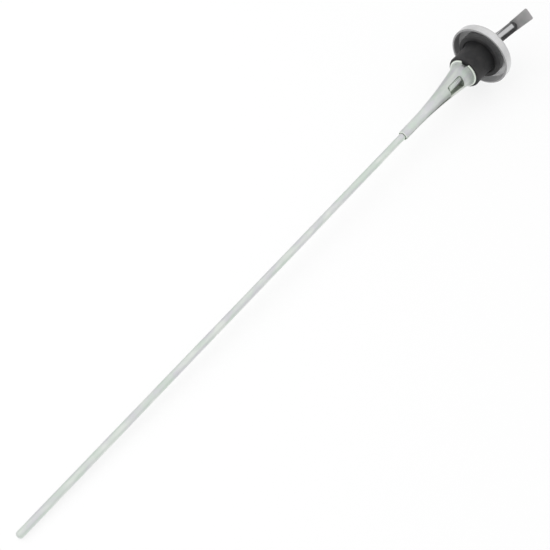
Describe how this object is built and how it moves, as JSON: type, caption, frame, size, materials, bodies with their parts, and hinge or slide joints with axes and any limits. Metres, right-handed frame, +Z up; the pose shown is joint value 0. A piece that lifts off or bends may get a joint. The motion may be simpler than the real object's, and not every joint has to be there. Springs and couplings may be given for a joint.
{
  "type": "gearcase dipstick",
  "caption": "Long round dipstick rod in a flared sheet socket, under an expanding rubber plug with a polished cap and a snap lever that draws the stem up to seal a filler hole.",
  "frame": {"origin": "on the floor under the middle of the lying part", "axes": "+X along the stick from its tip towards the lever, +Z up, the part lying on its cap's rim and its rod's tip"},
  "size_m": [0.4752, 0.0444, 0.0445],
  "materials": {
    "zinc_plate": "clear zinc plate with a faint green and violet tint",
    "polished_steel": "bright pressed steel",
    "black_rubber": "satin moulded rubber"
  },
  "bodies": {
    "plug_head": {"flange_cap": "polished_steel", "expansion_plug": "black_rubber"},
    "stick": {"stem": "zinc_plate", "stem_nut": "zinc_plate", "taper_socket": "zinc_plate", "dipstick_rod": "zinc_plate"},
    "lever": {"cam_lever": "polished_steel", "pivot_pin": "polished_steel"}
  },
  "joints": [
    {"name": "stem_lift", "type": "slide", "parent": "plug_head", "child": "stick", "axis": [0.9989, 0, 0.046], "range_m": [0, 0.003], "deforming": ["expansion_plug"]},
    {"name": "lever_snap", "type": "hinge", "parent": "stick", "child": "lever", "pos_m": [0.20803, 0, 0.0228], "axis": [-0.0283, 0.788, 0.615], "range_deg": [0, 120]}
  ],
  "couplings": [
    {"joint": "lever_snap", "follows": "stem_lift", "rad_per_m": 698.13}
  ]
}
